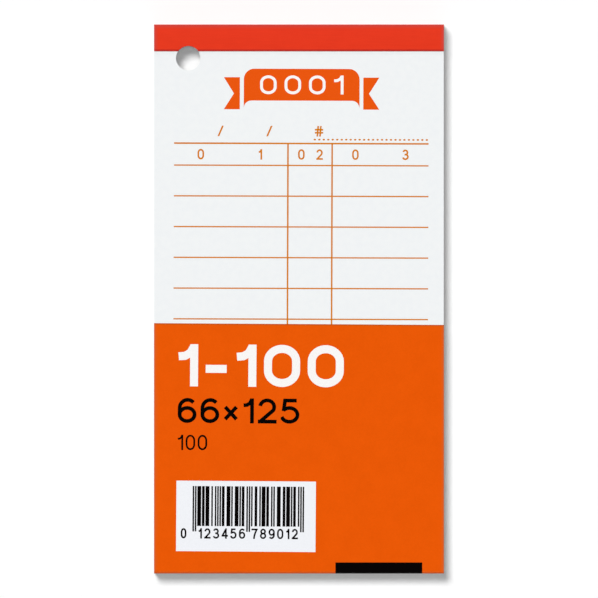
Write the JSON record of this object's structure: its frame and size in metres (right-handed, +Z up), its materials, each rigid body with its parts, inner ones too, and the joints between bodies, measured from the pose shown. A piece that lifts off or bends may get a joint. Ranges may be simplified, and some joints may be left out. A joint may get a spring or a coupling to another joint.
{
  "type": "guest check pad",
  "caption": "Pad of tear-off paper checks bound at the head by stapled red tape, with an orange card cover folded up over the lower front and a hang hole.",
  "frame": {"origin": "middle of the pad's width and length, on the surface it lies on", "axes": "+Z up out of the front, +Y along the length towards the taped head, +X across the width to the right of someone reading the top check"},
  "size_m": [0.066, 0.125, 0.0091],
  "materials": {
    "check_paper": "matte, faintly bluish white",
    "cover_card": "smooth coated card, orange",
    "tape_cloth": "coated cloth tape, red",
    "chipboard": "uncoated, grey-brown",
    "staple_wire": "drawn wire"
  },
  "bodies": {
    "pad": {"back_board": "chipboard", "cover_back": "cover_card", "binding_tape": "tape_cloth", "staple_left": "staple_wire", "staple_right": "staple_wire", "stub_001": "check_paper", "check_002": "check_paper", "check_003": "check_paper", "check_004": "check_paper", "check_005": "check_paper", "check_006": "check_paper", "check_007": "check_paper", "check_008": "check_paper", "check_009": "check_paper", "check_010": "check_paper", "check_011": "check_paper", "check_012": "check_paper", "check_013": "check_paper", "check_014": "check_paper", "check_015": "check_paper", "check_016": "check_paper", "check_017": "check_paper", "check_018": "check_paper", "check_019": "check_paper", "check_020": "check_paper", "check_021": "check_paper", "check_022": "check_paper", "check_023": "check_paper", "check_024": "check_paper", "check_025": "check_paper", "check_026": "check_paper", "check_027": "check_paper", "check_028": "check_paper", "check_029": "check_paper", "check_030": "check_paper", "check_031": "check_paper", "check_032": "check_paper", "check_033": "check_paper", "check_034": "check_paper", "check_035": "check_paper", "check_036": "check_paper", "check_037": "check_paper", "check_038": "check_paper", "check_039": "check_paper", "check_040": "check_paper", "checks_041_to_060": "check_paper", "checks_061_to_080": "check_paper", "checks_081_to_100": "check_paper"},
    "cover_foot": {"cover_foot": "cover_card"},
    "cover_flap": {"cover_flap": "cover_card"},
    "top_check": {"check_001": "check_paper"}
  },
  "joints": [
    {"name": "foot_fold", "type": "hinge", "parent": "pad", "child": "cover_foot", "pos_m": [0, -0.0621, 0.00024], "axis": [1, 0, 0], "range_deg": [0, 90]},
    {"name": "front_fold", "type": "hinge", "parent": "cover_foot", "child": "cover_flap", "pos_m": [0, -0.0621, 0.00906], "axis": [1, 0, 0], "range_deg": [0, 90]},
    {"name": "check_pull", "type": "slide", "parent": "pad", "child": "top_check", "axis": [1, 0, 0], "range_m": [0, 0.07]}
  ]
}
